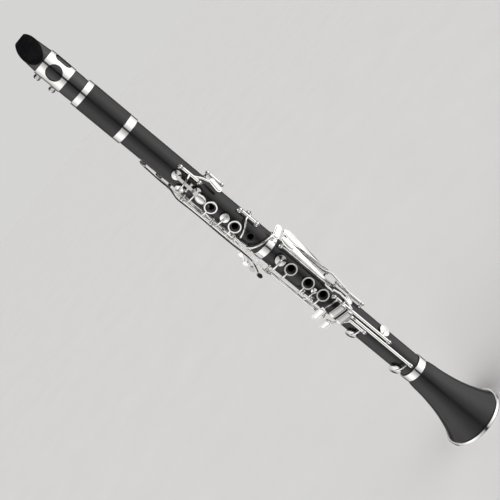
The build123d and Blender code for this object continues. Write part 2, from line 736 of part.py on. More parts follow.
with BuildPart() as g_sharp_key:
    hinge_tube(*g_hinge)
    arm([(32, body + 3.7, up(112)), (14, body + 7.2, up(111.5)), (-14, body + 7.3, up(110)),
         (g_cup[0], cup_base() + 2.4, g_cup[1])], 1.2)
    cup(*g_cup[:3])
    arm([(32, body + 3.7, up(108)), (44, body + 6.2, up(99)), (53, body + 6.9, up(88))], 1.2)
    paddle(53, body + 6.2, up(83), 45, 17.0, 7.0, 1.6, lean=78)
    hinge_bore(*g_hinge)
    pad_shape(*g_cup[:3], mode=Mode.SUBTRACT)

with BuildPart() as closed_thumb:
    hinge_tube(*thumb_hinge)
    disc(facing(180, body + 0.3, thumb_tube_h), ring_out, 1.7)
    disc(facing(180, body - 0.5, thumb_tube_h), ring_in, 4, mode=Mode.SUBTRACT)
    arm([(99, body + 5.5, up(81)), (122, body + 4.9, up(75)), (156, body + 2.6, up(67))], 1.2)
    hinge_bore(*thumb_hinge)

with BuildPart() as closed_first:
    hinge_tube(*first_hinge)
    arm([(-62, body + 5.5, left_first[1]), (left_first[0] - 38, body + 4.2, left_first[1]),
         (left_first[0] - 23, body + 2.4, left_first[1])], 1.2)
    finger_ring(*left_first)
    arm([(-62, body + 5.5, up(93)), (-34, body + 4.2, up(93.4)),
         (first_cup[0], cup_base() + 2.4, first_cup[1])], 1.1)
    cup(*first_cup[:3])
    hinge_bore(*first_hinge)
    pad_shape(*first_cup[:3], mode=Mode.SUBTRACT)

with BuildPart() as closed_second:
    hinge_tube(*second_hinge)
    arm([(-62, body + 5.5, left_second[1]), (left_second[0] - 38, body + 4.2, left_second[1]),
         (left_second[0] - 23, body + 2.4, left_second[1])], 1.2)
    finger_ring(*left_second)
    arm([(-62, body + 5.5, second_cup[1] + 0.6), (-34, body + 4.6, second_cup[1] + 0.6),
         (second_cup[0], cup_base() + 2.4, second_cup[1])], 1.2)
    cup(*second_cup[:3])
    arm([(-62, body + 5.5, up(36)), (-53, body + 7.1, up(29)), (-50, body + 7.2, up(12)),
         (-50, body + 6.9, low(217))], 1.05)
    hinge_bore(*second_hinge)
    pad_shape(*second_cup[:3], mode=Mode.SUBTRACT)

with BuildPart() as c_sharp_key:
    hinge_tube(*c_hinge)
    arm([(-48, body + 3.1, up(22)), (-62, body + 2.3, up(22)), (c_cup[0], cup_base() + 2.2, c_cup[1])], 1.0)
    cup(*c_cup[:3])
    arm([(-48, body + 3.1, up(13)), (-24, body + 3.5, up(8)), (0, body + 3.6, up(5)),
         (28, body + 4.8, up(2.5)), (52, body + 6.5, up(0))], 1.5)
    paddle(66, body + 7.5, up(-2), 38, 17.0, 8.0, 1.8, lean=12)
    hinge_bore(*c_hinge)
    pad_shape(*c_cup[:3], mode=Mode.SUBTRACT)

with BuildPart() as sliver_key:
    hinge_tube(*banana_hinge)
    arm([(52, body + 3.6, up(34)), (34, body + 4.2, up(34.5)), (14, body + 3.0, up(30)),
         (-8, body + 2.8, up(27)), (-26, body + 2.8, up(25.6))], 1.15)
    arm([(52, body + 3.6, up(32)), (70, body + 3.4, up(32.4)),
         (banana_cup[0], cup_base() + 2.4, banana_cup[1])], 1.1)
    cup(*banana_cup[:3])
    hinge_bore(*banana_hinge)
    pad_shape(*banana_cup[:3], mode=Mode.SUBTRACT)

# ------------------------------------------------------------------ keys of the lower joint
with BuildPart() as closed_lower_ring:
    hinge_tube(*low_ring_hinge)
    for turn, height in (right_first, right_second, right_third):
        arm([(-66, body + 5.8, height), (turn - 44, body + 4.6, height), (turn - 23, body + 2.4, height)], 1.25)
    for turn, height in (right_first, right_second, right_third):
        finger_ring(turn, height)
    arm([(-66, body + 5.8, low(203)), (-34, body + 4.8, low(204.5)),
         (low_ring_cup[0], cup_base() + 2.4, low_ring_cup[1])], 1.3)
    cup(*low_ring_cup[:3])
    arm([(-66, body + 5.8, low(199)), (-57, body + 8.8, low(207)), (-51, body + 9.8, low(214)),
         (-49, body + 9.8, low(221))], 1.05)
    hinge_bore(*low_ring_hinge)
    pad_shape(*low_ring_cup[:3], mode=Mode.SUBTRACT)

with BuildPart() as lower_sliver_key:
    hinge_tube(*low_banana_hinge)
    arm([(-40, body + 4.2, low(153)), (-26, body + 4.4, low(153)),
         (low_banana_cup[0], cup_base() + 2.4, low_banana_cup[1])], 1.1)
    cup(*low_banana_cup[:3])
    arm([(-40, body + 4.2, low(152)), (-47, body + 5.2, low(153)), (-53, body + 5.9, low(154.5))], 1.3)
    hinge_bore(*low_banana_hinge)
    pad_shape(*low_banana_cup[:3], mode=Mode.SUBTRACT)

with BuildPart() as closed_f_sharp:
    hinge_tube(*f_sharp_hinge)
    arm([(82, body + 5.0, low(116)), (66, body + 4.2, low(116)), (46, body + 5.6, low(118)),
         (30, body + 7.0, low(119.5)), (14, body + 7.3, low(120)), (4, body + 7.5, low(120))], 1.15)
    arm([(60, body + 3.7, low(116)), (54, cup_base() + 2.2, low(114))], 1.0)
    cup(*f_sharp_cup[:3])
    paddle(-6, body + 6.6, low(120), -8, 21.0, 8.6, 1.7, lean=-10)
    hinge_bore(*f_sharp_hinge)
    pad_shape(*f_sharp_cup[:3], mode=Mode.SUBTRACT)

with BuildPart() as a_flat_key:
    hinge_tube(*a_flat_hinge)
    arm([(26, body + 3.8, low(126)), (8, body + 3.6, low(128)), (-16, body + 3.9, low(130)),
         (-36, body + 8.4, low(131.5)), (-44, body + 9.4, low(131.5))], 1.15)
    paddle(-47, body + 9.2, low(131.3), -28, 21.0, 8.0, 1.7, lean=8)
    arm([(26, body + 3.8, low(57)), (42, body + 3.6, low(57)), (56, cup_base() + 2.4, low(56.5))], 1.3)
    cup(*a_flat_cup[:3])
    hinge_bore(*a_flat_hinge)
    pad_shape(*a_flat_cup[:3], mode=Mode.SUBTRACT)

with BuildPart() as closed_f:
    hinge_tube(*f_hinge)
    arm([(-4, body + 3.8, low(98)), (-22, body + 4.0, low(103)), (-42, body + 5.0, low(109)),
         (-52, body + 8.6, low(114)), (-60, body + 10.9, low(115.5))], 1.15)
    paddle(-62, body + 10.5, low(115.5), -36, 17.0, 8.0, 1.7, lean=8)
    arm([(-4, body + 3.8, low(82)), (-30, body + 3.8, low(83)), (-54, cup_base() + 2.4, low(84))], 1.3)
    cup(*f_cup[:3])
    hinge_bore(*f_hinge)
    pad_shape(*f_cup[:3], mode=Mode.SUBTRACT)

with BuildPart() as closed_e:
    hinge_tube(*e_hinge)
    arm([(10, body + 3.8, low(95.5)), (9, body + 7.9, low(101)), (6, body + 7.9, low(107))], 1.3)
    paddle(-6, body + 6.8, low(108.5), -8, 21.0, 8.6, 1.7, lean=-8)
    arm([(10, body + 7.7, low(107.5)), (24, body + 11.2, low(109)), (33, body + 11.4, low(122)),
         (36, body + 11.2, low(130)), (36, body + 8.2, low(138))], 1.05)
    arm([(10, body + 3.8, low(12)), (-18, body + 3.8, low(13)), (-50, cup_base() + 2.4, low(15))], 1.3)
    cup(*e_cup[:3])
    hinge_bore(*e_hinge)
    pad_shape(*e_cup[:3], mode=Mode.SUBTRACT)

with BuildPart() as left_e_lever:
    hinge_tube(*left_e_hinge)
    arm([(48, body + 4.0, low(206)), (55, body + 8.6, low(208))], 1.3)
    paddle(55, body + 8.2, low(211.5), 32, 19.0, 8.6, 1.8, lean=84, leaf=True)
    arm([(48, body + 4.0, low(150)), (37, body + 4.4, low(148)), (35.5, body + 4.6, low(137))], 1.05)
    hinge_bore(*left_e_hinge)

with BuildPart() as left_f_lever:
    hinge_tube(*left_f_hinge)
    arm([(102, body + 5.5, low(184)), (93, body + 9.4, low(194)), (86, body + 10.2, low(203))], 1.3)
    paddle(85, body + 9.4, low(208), 48, 26.0, 10.0, 1.9, lean=82, leaf=True)
    arm([(102, body + 5.5, low(156)), (88, body + 9.0, low(146)), (73, body + 8.9, low(133)),
         (68, body + 7.2, low(117))], 1.1)
    hinge_bore(*left_f_hinge)


# ------------------------------------------------------------------ standing keys at rest, pads
def raised(part, hinge, angle):
    """A standing key opened about its hinge rod."""
    line = Axis(tuple(at(hinge[0], hinge[1], 0)), (0, 0, 1))
    return part.rotate(line, angle)


def pads(spots):
    """The pads of one key."""
    for spot in spots:
        pad_shape(*spot[:3])


with BuildPart() as thumb_ring_key:
    add(raised(closed_thumb.part, thumb_hinge, -lift))

with BuildPart() as first_ring_key:
    add(raised(closed_first.part, first_hinge, -lift))

with BuildPart() as second_ring_key:
    add(raised(closed_second.part, second_hinge, -lift))

with BuildPart() as lower_ring_key:
    add(raised(closed_lower_ring.part, low_ring_hinge, -lift))

with BuildPart() as f_sharp_key:
    add(raised(closed_f_sharp.part, f_sharp_hinge, lift))

with BuildPart() as f_key:
    add(raised(closed_f.part, f_hinge, lift))

with BuildPart() as e_key:
    add(raised(closed_e.part, e_hinge, lift))

with BuildPart() as register_pad:
    pads([register_cup])

with BuildPart() as a_pad:
    pads([a_cup])

with BuildPart() as g_sharp_pad:
    pads([g_cup])

with BuildPart() as c_sharp_pad:
    pads([c_cup])

with BuildPart() as sliver_pad:
    pads([banana_cup])

with BuildPart() as lower_sliver_pad:
    pads([low_banana_cup])

with BuildPart() as a_flat_pad:
    pads([a_flat_cup])

with BuildPart() as closed_pad_first:
    pads([first_cup])

with BuildPart() as first_ring_pad:
    add(raised(closed_pad_first.part, first_hinge, -lift))

with BuildPart() as closed_pad_second:
    pads([second_cup])

with BuildPart() as second_ring_pad:
    add(raised(closed_pad_second.part, second_hinge, -lift))

with BuildPart() as closed_pad_lower:
    pads([low_ring_cup])

with BuildPart() as lower_ring_pad:
    add(raised(closed_pad_lower.part, low_ring_hinge, -lift))

with BuildPart() as closed_pad_f_sharp:
    pads([f_sharp_cup])

with BuildPart() as f_sharp_pad:
    add(raised(closed_pad_f_sharp.part, f_sharp_hinge, lift))

with BuildPart() as closed_pad_f:
    pads([f_cup])

with BuildPart() as f_pad:
    add(raised(closed_pad_f.part, f_hinge, lift))

with BuildPart() as closed_pad_e:
    pads([e_cup])

with BuildPart() as e_pad:
    add(raised(closed_pad_e.part, e_hinge, lift))

with BuildPart() as trill_pad_4:
    pads([(trills[0][4], trills[0][1], 4.2)])

with BuildPart() as trill_pad_3:
    pads([(trills[1][4], trills[1][1], 4.2)])

with BuildPart() as trill_pad_2:
    pads([(trills[2][4], trills[2][1], 4.2)])

with BuildPart() as trill_pad_1:
    pads([(trills[3][4], trills[3][1], 4.2)])


# ------------------------------------------------------------------ like pieces kept together
with BuildPart() as barrel_rings:
    add(barrel_top_ring.part)
    add(barrel_bottom_ring.part)

with BuildPart() as socket_rings:
    add(lower_socket_ring.part)
    add(bell_socket_ring.part)

with BuildPart() as tenon_corks:
    add(upper_joint_corks.part)
    add(lower_tenon_cork.part)

with BuildPart() as needle_springs:
    add(upper_springs.part)
    add(lower_springs.part)


# ------------------------------------------------------------------ one file for each piece
pieces = {
    "mouthpiece": mouthpiece, "mouthpiece_cork": mouthpiece_cork, "reed": reed,
    "ligature_band": ligature_band, "ligature_screw_upper": ligature_screw_upper,
    "ligature_screw_lower": ligature_screw_lower,
    "barrel_body": barrel_body, "barrel_rings": barrel_rings, "tenon_corks": tenon_corks,
    "upper_joint_body": upper_joint_body, "upper_posts": upper_posts, "upper_rods": upper_rods,
    "needle_springs": needle_springs,
    "hole_tubes": hole_tubes,
    "lower_joint_body": lower_joint_body, "lower_posts": lower_posts, "lower_rods": lower_rods,
    "socket_rings": socket_rings, "thumb_rest": thumb_rest, "thumb_rest_screws": thumb_rest_screws,
    "bell_body": bell_body, "bell_rim_ring": bell_rim_ring,
    "register_key": register_key, "register_pad": register_pad, "a_key": a_key, "a_pad": a_pad,
    "g_sharp_key": g_sharp_key, "g_sharp_pad": g_sharp_pad,
    "thumb_ring_key": thumb_ring_key,
    "first_ring_key": first_ring_key, "first_ring_pad": first_ring_pad,
    "second_ring_key": second_ring_key, "second_ring_pad": second_ring_pad,
    "c_sharp_key": c_sharp_key, "c_sharp_pad": c_sharp_pad,
    "sliver_key": sliver_key, "sliver_pad": sliver_pad,
    "trill_key_1": trill_key_1, "trill_key_2": trill_key_2, "trill_key_3": trill_key_3,
    "trill_key_4": trill_key_4, "trill_pad_1": trill_pad_1, "trill_pad_2": trill_pad_2,
    "trill_pad_3": trill_pad_3, "trill_pad_4": trill_pad_4,
    "lower_ring_key": lower_ring_key, "lower_ring_pad": lower_ring_pad,
    "lower_sliver_key": lower_sliver_key, "lower_sliver_pad": lower_sliver_pad,
    "f_sharp_key": f_sharp_key, "f_sharp_pad": f_sharp_pad, "f_key": f_key, "f_pad": f_pad,
    "e_key": e_key, "e_pad": e_pad, "a_flat_key": a_flat_key, "a_flat_pad": a_flat_pad,
    "left_e_lever": left_e_lever, "left_f_lever": left_f_lever,
}
for label, piece in pieces.items():
    piece.part.label = label
    export_step(piece.part, f"parts/{label}.step")
    size = piece.part.bounding_box().size
    print(label, len(piece.part.solids()), round(piece.part.volume, 1),
          round(size.X, 1), round(size.Y, 1), round(size.Z, 1))
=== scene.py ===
# %% [markdown]
# A soprano clarinet stands on its bell. The joints, rings, keys and rods come from the packed
# model, in metres, with the bell's mouth on the floor and the bore along +Z. This script gives
# every piece its finish, makes the soft and fine pieces itself, and lights it like a studio.

import json
import math

import bmesh
import bpy
import numpy as np
from mathutils import Matrix, Vector, noise

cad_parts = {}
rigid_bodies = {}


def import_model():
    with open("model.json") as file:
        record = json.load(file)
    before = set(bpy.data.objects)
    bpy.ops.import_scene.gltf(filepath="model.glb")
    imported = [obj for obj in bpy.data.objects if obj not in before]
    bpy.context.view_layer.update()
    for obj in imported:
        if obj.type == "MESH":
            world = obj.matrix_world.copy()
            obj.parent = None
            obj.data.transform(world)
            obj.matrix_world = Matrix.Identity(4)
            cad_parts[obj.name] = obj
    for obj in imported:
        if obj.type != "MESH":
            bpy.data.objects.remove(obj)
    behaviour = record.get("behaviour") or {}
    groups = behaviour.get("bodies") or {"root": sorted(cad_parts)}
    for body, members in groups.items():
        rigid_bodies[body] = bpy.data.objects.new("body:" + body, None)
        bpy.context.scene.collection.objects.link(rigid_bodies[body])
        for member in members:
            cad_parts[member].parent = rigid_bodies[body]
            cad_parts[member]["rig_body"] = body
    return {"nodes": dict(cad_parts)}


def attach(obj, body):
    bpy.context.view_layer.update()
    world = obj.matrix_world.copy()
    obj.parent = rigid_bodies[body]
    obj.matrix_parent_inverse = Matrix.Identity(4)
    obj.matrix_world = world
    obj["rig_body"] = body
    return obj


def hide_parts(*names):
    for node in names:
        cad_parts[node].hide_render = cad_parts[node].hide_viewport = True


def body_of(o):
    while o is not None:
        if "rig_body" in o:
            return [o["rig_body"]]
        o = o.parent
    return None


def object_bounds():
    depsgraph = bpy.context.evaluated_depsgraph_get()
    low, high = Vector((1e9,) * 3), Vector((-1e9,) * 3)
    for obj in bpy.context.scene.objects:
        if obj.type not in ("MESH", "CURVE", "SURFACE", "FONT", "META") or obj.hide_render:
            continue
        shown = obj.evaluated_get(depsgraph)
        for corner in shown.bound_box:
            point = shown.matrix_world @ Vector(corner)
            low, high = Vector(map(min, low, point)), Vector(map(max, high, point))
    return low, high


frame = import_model()
packed_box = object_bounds()

# %% [markdown]
# A finish is a small graph of nodes. Written as plain expressions it stays readable, so one class
# wraps a socket and turns + - * into Math nodes, and a second one holds the graph of one finish
# and makes every other node. Numbers alone are worked out in Python and never become nodes.

# %% Expressions that build shader nodes
class Wire:
    """An output socket that can be used in arithmetic."""

    def __init__(self, graph, socket):
        self.graph = graph
        self.socket = socket

    def _math(self, operation, first, second):
        return self.graph.node("ShaderNodeMath", {"operation": operation}, {0: first, 1: second})

    def __add__(self, other):
        return self._math("ADD", self, other)

    def __radd__(self, other):
        return self._math("ADD", other, self)

    def __sub__(self, other):
        return self._math("SUBTRACT", self, other)

    def __rsub__(self, other):
        return self._math("SUBTRACT", other, self)

    def __mul__(self, other):
        return self._math("MULTIPLY", self, other)

    def __rmul__(self, other):
        return self._math("MULTIPLY", other, self)


class Graph:
    """The nodes of one finish, or of the sky."""

    def __init__(self, tree):
        self.tree = tree
        self.tree.nodes.clear()

    def node(self, kind, settings=(), sockets=(), out=0):
        """Adds a node: its settings first, then the values or links of its sockets."""
        made = self.tree.nodes.new(kind)
        for name, value in dict(settings).items():
            setattr(made, name, value)
        for name, value in dict(sockets).items():
            if isinstance(value, Wire):
                self.tree.links.new(value.socket, made.inputs[name])
            else:
                made.inputs[name].default_value = value
        return Wire(self, made.outputs[out]) if made.outputs else made

    def place(self, stretch=(1, 1, 1)):
        """Where a point is on the piece, in metres, stretched along any of its axes."""
        here = self.node("ShaderNodeTexCoord", out="Object")
        return self.node("ShaderNodeVectorMath", {"operation": "MULTIPLY"}, {0: here, 1: stretch})

    def speckle(self, scale, detail=3.0, stretch=(1, 1, 1), roughness=0.5):
        """Soft random values from 0 to 1, with features about 1/scale metres across."""
        here = self.place(stretch)
        sockets = {"Vector": here, "Scale": scale, "Detail": detail, "Roughness": roughness}
        return self.node("ShaderNodeTexNoise", {}, sockets)

    def span(self, value, low, high):
        """Takes the part of a value from low to high and spreads it from 0 to 1."""
        sockets = {"Value": value, "From Min": low, "From Max": high}
        return self.node("ShaderNodeMapRange", {"clamp": True}, sockets)

    def mix(self, factor, first, second):
        """Goes from one colour to another."""
        settings = {"data_type": "RGBA"}
        return self.node("ShaderNodeMix", settings, {0: factor, 6: first, 7: second}, out=2)

    def softened(self, radius):
        """The surface direction with its sharp edges rounded off in the shading."""
        return self.node("ShaderNodeBevel", {"samples": 3}, {"Radius": radius})

    def bump(self, height, strength, distance, normal=None):
        sockets = {"Height": height, "Strength": strength, "Distance": distance}
        if normal is not None:
            sockets["Normal"] = normal
        return self.node("ShaderNodeBump", {}, sockets)


def finish(name, build, **constants):
    """Makes a material: build gives the sockets that vary, constants the ones that don't."""
    material = bpy.data.materials.new(name)
    material.use_nodes = True
    graph = Graph(material.node_tree)
    sockets = {**constants, **build(graph)}
    surface = graph.node("ShaderNodeBsdfPrincipled", {}, sockets)
    graph.node("ShaderNodeOutputMaterial", {}, {"Surface": surface})
    print("finish", name, "with", len(material.node_tree.nodes), "nodes")
    return material


# %% [markdown]
# The body is turned from black composite and left satin. Close up it keeps faint lines along the
# grain, a little handling haze, and no strong colour. A stretched noise gives the lines, a broad
# one the haze. Both stay weak, because the long soft highlights should do most of the work.

# %% Black composite
def black_composite(g):
    grain = g.speckle(2200.0, 4.0, (1, 1, 0.02))
    haze = g.speckle(38.0, 5.0, (1, 1, 0.4), 0.6)
    dust = g.span(g.speckle(1900.0, 2.0), 0.70, 0.80)
    tone = g.mix(g.span(haze, 0.3, 0.7), (0.0065, 0.0065, 0.0075, 1), (0.0125, 0.0122, 0.0130, 1))
    return {
        "Base Color": g.mix(dust * 0.25, tone, (0.045, 0.044, 0.042, 1)),
        "Roughness": 0.21 + 0.09 * g.span(haze, 0.3, 0.7) + 0.05 * grain,
        "Normal": g.bump(grain, 0.12, 0.00004, g.softened(0.0004)),
    }


black = finish("black_composite", black_composite, **{"IOR": 1.5})

# %% [markdown]
# The mouthpiece is hard rubber, polished almost like glass, with a few rubbed places where the
# cap and the player's lip have dulled it.

# %% Polished hard rubber
def hard_rubber(g):
    rubbed = g.span(g.speckle(70.0, 5.0), 0.52, 0.70)
    hair = g.span(g.speckle(3000.0, 2.0, (1, 1, 0.05)), 0.62, 0.72)
    return {
        "Base Color": g.mix(rubbed * 0.5, (0.005, 0.005, 0.006, 1), (0.013, 0.012, 0.011, 1)),
        "Roughness": 0.13 + 0.12 * rubbed + 0.05 * hair,
        "Normal": g.bump(hair, 0.10, 0.00003, g.softened(0.0011)),
    }


rubber = finish("hard_rubber", hard_rubber,
                **{"IOR": 1.55, "Coat Weight": 0.35, "Coat Roughness": 0.08})

# %% [markdown]
# Keys, posts and the ligature are cast or forged, soldered, buffed and plated. Buffing leaves
# slightly wavy faces and rounded edges, and use leaves hairline scratches and a warm bloom. The
# rounding is shading from a Bevel node, which is what makes a machined edge catch the light.

# %% Plated and buffed metal
def buffed_plate(g):
    bloom = g.span(g.speckle(85.0, 5.0, (1, 1, 1), 0.65), 0.45, 0.75)
    wave = g.speckle(240.0, 2.0)
    hair = g.span(g.speckle(1700.0, 3.0, (1, 0.12, 0.12)), 0.60, 0.68)
    crossed = g.span(g.speckle(1500.0, 3.0, (0.1, 1, 0.25)), 0.62, 0.70)
    scratched = hair * 0.5 + crossed * 0.5
    return {
        "Base Color": g.mix(bloom * 0.55, (0.93, 0.925, 0.91, 1), (0.78, 0.75, 0.69, 1)),
        "Roughness": 0.06 + 0.07 * bloom + 0.10 * scratched,
        "Normal": g.bump(wave + scratched * 0.2, 0.10, 0.00018, g.softened(0.00035)),
    }


plate = finish("buffed_plate", buffed_plate, **{"Metallic": 1.0})

# %% [markdown]
# The rings are turned on a lathe before plating, so their faint marks run round them. Bands of
# noise squashed along Z give rings of slightly different polish, which break up the highlight.

# %% Turned ring metal
def turned_plate(g):
    turned = g.speckle(3600.0, 2.0, (0.02, 0.02, 1))
    bloom = g.span(g.speckle(60.0, 5.0), 0.45, 0.75)
    return {
        "Base Color": g.mix(bloom * 0.5, (0.93, 0.925, 0.915, 1), (0.80, 0.77, 0.72, 1)),
        "Roughness": 0.07 + 0.08 * turned + 0.06 * bloom,
        "Normal": g.bump(turned, 0.10, 0.00003, g.softened(0.0004)),
    }


turned = finish("turned_plate", turned_plate, **{"Metallic": 1.0})

# %% [markdown]
# Rods are drawn steel and the needle springs are blued by heat. Drawing leaves fine lines along
# the length, and oil gathers in them as darker streaks.

# %% Drawn steel
def drawn_steel(g):
    lines = g.speckle(3000.0, 3.0, (1, 1, 0.03))
    oil = g.span(g.speckle(120.0, 4.0, (1, 1, 0.3)), 0.45, 0.75)
    return {
        "Base Color": g.mix(oil, (0.55, 0.56, 0.58, 1), (0.24, 0.25, 0.29, 1)),
        "Roughness": 0.18 + 0.14 * lines + 0.08 * oil,
        "Normal": g.bump(lines, 0.15, 0.00003),
    }


steel = finish("drawn_steel", drawn_steel, **{"Metallic": 1.0})

# %% [markdown]
# Cork is pale and full of small dark pores, and grease darkens it in patches. Pores are cells of
# a Voronoi pattern cut off at a small distance from their centres.

# %% Greased cork
def greased_cork(g):
    pores = g.node("ShaderNodeTexVoronoi", {}, {"Vector": g.place(), "Scale": 900.0}, out="Distance")
    pore = 1 - g.span(pores, 0.12, 0.30)
    grease = g.span(g.speckle(160.0, 5.0), 0.40, 0.70)
    base = g.mix(grease * 0.6, (0.56, 0.37, 0.20, 1), (0.36, 0.22, 0.11, 1))
    return {
        "Base Color": g.mix(pore, base, (0.14, 0.075, 0.035, 1)),
        "Roughness": 0.85 - 0.3 * grease,
        "Normal": g.bump(1 - pore, 0.5, 0.0001),
    }


cork = finish("greased_cork", greased_cork)

# %% [markdown]
# Pads are felt discs wrapped in thin, cream fish skin. The skin is semi-glossy with fine creases
# and a few yellowed places.

# %% Pad skin
def pad_skin(g):
    crease = g.speckle(1400.0, 5.0, (1, 1, 1), 0.7)
    aged = g.span(g.speckle(260.0, 4.0), 0.40, 0.72)
    return {
        "Base Color": g.mix(aged, (0.80, 0.72, 0.56, 1), (0.62, 0.50, 0.32, 1)),
        "Roughness": 0.38 + 0.25 * crease,
        "Normal": g.bump(crease, 0.35, 0.00008),
    }


skin = finish("pad_skin", pad_skin)

# %% [markdown]
# The reed is a slice of cane. Its fibres run straight along it, darker and browner towards the
# bark, with the cut part paler and drier.

# %% Cut cane
def cut_cane(g):
    fibres = g.speckle(2600.0, 3.0, (1, 1, 0.012))
    stain = g.span(g.speckle(120.0, 4.0, (1, 1, 0.25)), 0.45, 0.75)
    base = g.mix(g.span(fibres, 0.35, 0.65), (0.60, 0.42, 0.17, 1), (0.80, 0.65, 0.35, 1))
    return {
        "Base Color": g.mix(stain * 0.5, base, (0.48, 0.30, 0.11, 1)),
        "Roughness": 0.48 + 0.2 * fibres,
        "Normal": g.bump(fibres, 0.3, 0.00005),
    }


cane = finish("cut_cane", cut_cane)

# %% [markdown]
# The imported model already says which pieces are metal, cork or composite. Each of its materials is
# swapped for the finish of the same kind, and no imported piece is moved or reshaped.

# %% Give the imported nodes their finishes
finishes = {"black": black, "silver": plate, "ring_metal": turned, "steel": steel, "cork": cork,
            "pad": skin, "cane": cane, "mouth": rubber}
slots_of_nodes = {}
for name, piece in frame["nodes"].items():
    for place in piece.material_slots:
        key = place.material.name.split(".")[0] if place.material else ""
        slots_of_nodes[name] = key
        place.material = finishes[key]
print({key: sum(1 for k in slots_of_nodes.values() if k == key) for key in finishes})

# %% [markdown]
# Every added piece here is a stack of rings skinned into a closed shape, so one function joins the
# rings and caps the ends, and one hangs the finished mesh on the body that carries it.

# %% Skin and hang
def skin_over(bm, rings):
    """Joins rings of corners into a tube and caps both ends."""
    for low, high in zip(rings, rings[1:]):
        for i in range(len(low)):
            j = (i + 1) % len(low)
            bm.faces.new((low[i], low[j], high[j], high[i]))
    bm.faces.new(list(reversed(rings[0])))
    bm.faces.new(rings[-1])


def hang(name, bm, body, material, smooth=True):
    """Makes a piece from a mesh under construction and lets it ride on a body."""
    bmesh.ops.recalc_face_normals(bm, faces=bm.faces)
    for face in bm.faces:
        face.smooth = smooth
    mesh = bpy.data.meshes.new(name)
    bm.to_mesh(mesh)
    bm.free()
    mesh.materials.append(material)
    piece = bpy.data.objects.new(name, mesh)
    bpy.context.scene.collection.objects.link(piece)
    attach(piece, body)
    return piece


# %% [markdown]
# Round pieces are lathed: a profile of (radius, height) points is spun round an axis. A little
# noise in the heights keeps a soft piece from looking machined.

# %% Lathe
def lathe(name, profile, centre, axis, body, material, steps, ripple):
    """Spins a profile round an axis through a centre, and hangs the piece on a body."""
    bm = bmesh.new()
    turn = Vector((0, 0, 1)).rotation_difference(Vector(axis).normalized()).to_matrix()
    rings = []
    for radius, height in profile:
        ring = []
        for i in range(steps):
            a = 2 * math.pi * i / steps
            swell = 1 + ripple * noise.noise(Vector((3 * math.cos(a), 3 * math.sin(a), 400 * height)))
            point = turn @ Vector((radius * math.cos(a), radius * math.sin(a), height * swell))
            ring.append(bm.verts.new(point + Vector(centre)))
        rings.append(ring)
    skin_over(bm, rings)
    return hang(name, bm, body, material)


def flat_disc(node):
    """Centre, axis, radius and thickness of a disc-shaped node, measured from its mesh."""
    spots = np.array([v.co[:] for v in frame["nodes"][node].data.vertices])
    outward = (spots.max(0) + spots.min(0)) / 2
    unique = np.unique(np.round(spots, 6), axis=0)
    mean = unique.mean(0)
    axis = np.linalg.eigh(np.cov((unique - mean).T))[1][:, 0]
    if axis[0] * outward[0] + axis[1] * outward[1] < 0:
        axis = -axis
    along = (unique - mean) @ axis
    across = np.linalg.norm((unique - mean) - np.outer(along, axis), axis=1)
    middle = mean + axis * (along.max() + along.min()) / 2
    return middle, axis, across.max(), along.max() - along.min()


# %% [markdown]
# Each key that stops a tone hole carries a pad, pressed into its cup. A real pad bulges: its skin
# is drawn round the felt, so the rim is round and the face is slightly crowned with a ring-shaped
# dent from the tone hole's edge. Each one stands in for its plain disc and rides with its key.

# %% Pads
PAD_STEPS = 48
PAD_RIPPLE = 0.05       # how far the heights wander, as a share
TINY = 0.0004           # radius of the small face that closes each end
pads = [n for n, key in slots_of_nodes.items() if key == "pad"]
for node in pads:
    centre, axis, radius, thick = flat_disc(node)
    half = thick / 2
    profile = [(TINY, -half * 0.94),
               (radius * 0.50, -half * 0.97),
               (radius * 0.62, -half * 0.80), (radius * 0.70, -half * 0.80),
               (radius * 0.80, -half * 0.99), (radius * 0.92, -half * 0.86),
               (radius * 0.985, -half * 0.45), (radius * 0.995, 0.0), (radius * 0.985, half * 0.6),
               (radius * 0.94, half * 0.95),
               (TINY, half * 0.97)]
    body = body_of(frame["nodes"][node])[0]
    piece = lathe("skin_" + node, profile, centre, axis, body, skin, PAD_STEPS, PAD_RIPPLE)
    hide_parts(node)
print("pads", len(pads))

# %% [markdown]
# The finger plates of a real key are pillows: soft domes with rolled edges, so that each one shows
# a small gradient of light instead of a flat flash. Each dome is a stack of outlines, round-ended
# or leaf-shaped, drawn in along a quarter circle, and it sits on its plate and rides with the key.

# %% Places round the instrument, in millimetres
MM = 0.001


def spot(turn, reach, height):
    """A point from its turn round the bore, its distance out and its height."""
    a = math.radians(turn)
    return Vector((reach * math.sin(a), -reach * math.cos(a), height))


def facing_axes(facing):
    """The level direction across a face, and the one out of it."""
    f = math.radians(facing)
    return Vector((math.cos(f), math.sin(f), 0)), Vector((math.sin(f), -math.cos(f), 0))


def swing(point, hinge, degrees):
    """Turns a point about an upright rod at a turn and reach."""
    pin = spot(hinge[0], hinge[1], 0)
    return pin + Matrix.Rotation(math.radians(degrees), 3, "Z") @ (point - pin)


def stacked(name, rings, key):
    """A plated piece on a key, from rings of points."""
    bm = bmesh.new()
    skin_over(bm, [[bm.verts.new(point * MM) for point in ring] for ring in rings])
    return hang(name, bm, key, plate)


# %% Domes on the finger plates
DOME_INSET = 0.8        # from the plate's edge
DOME_SINK = 0.1         # into the plate
DOME_RISE = 1.3
DOME_LAYERS = 6
DOME_STEPS = 48
LAST_LAYER = 0.97       # of the quarter circle, so that the top stays a small face


